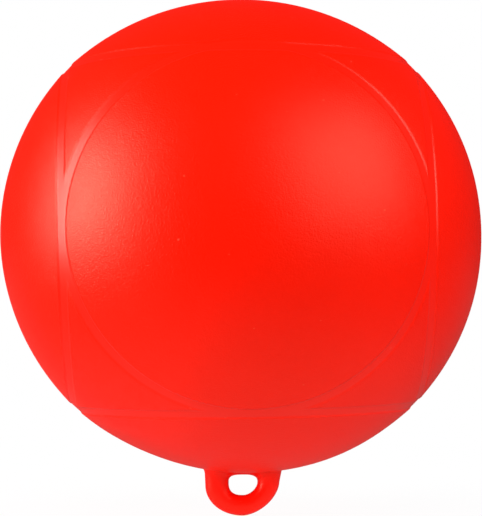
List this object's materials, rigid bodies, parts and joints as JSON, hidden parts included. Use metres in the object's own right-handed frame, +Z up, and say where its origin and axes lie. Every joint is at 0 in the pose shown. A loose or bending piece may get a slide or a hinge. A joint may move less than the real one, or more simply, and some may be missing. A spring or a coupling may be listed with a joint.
{
  "type": "waterski buoy",
  "caption": "Hollow vinyl marker ball for a waterski course, with recessed round bands, a solid mooring eye at its foot and a screw-plug inflation valve at its top.",
  "frame": {"origin": "centre of the ball, on its vertical axis and in the water surface when it is moored half submerged", "axes": "+Z up from the mooring eye to the valve, +X across the eye's width, -Y is the front and the eye's hole runs along Y"},
  "size_m": [0.2286, 0.2286, 0.2447],
  "materials": {
    "ball_vinyl": "soft vinyl, satin gloss, faint orange peel from the mould",
    "eye_vinyl": "solid soft vinyl, satin gloss",
    "valve_insert": "moulded black plastic",
    "seal_rubber": "smooth black rubber",
    "plug_nylon": "natural white nylon, turned by a coin"
  },
  "bodies": {
    "float": {"float_shell": "ball_vinyl", "mooring_eye": "eye_vinyl", "valve_body": "valve_insert"},
    "seal": {"valve_seal": "seal_rubber"},
    "plug": {"valve_plug": "plug_nylon"}
  },
  "joints": [
    {"name": "plug_lift", "type": "slide", "parent": "float", "child": "seal", "axis": [0, 0, 1], "range_m": [0, 0.009]},
    {"name": "plug_turn", "type": "hinge", "parent": "seal", "child": "plug", "pos_m": [0, 0, 0.1091], "axis": [0, 0, 1], "range_deg": [0, 2160]}
  ],
  "couplings": [
    {"joint": "plug_turn", "follows": "plug_lift", "rad_per_m": 4188.8}
  ]
}
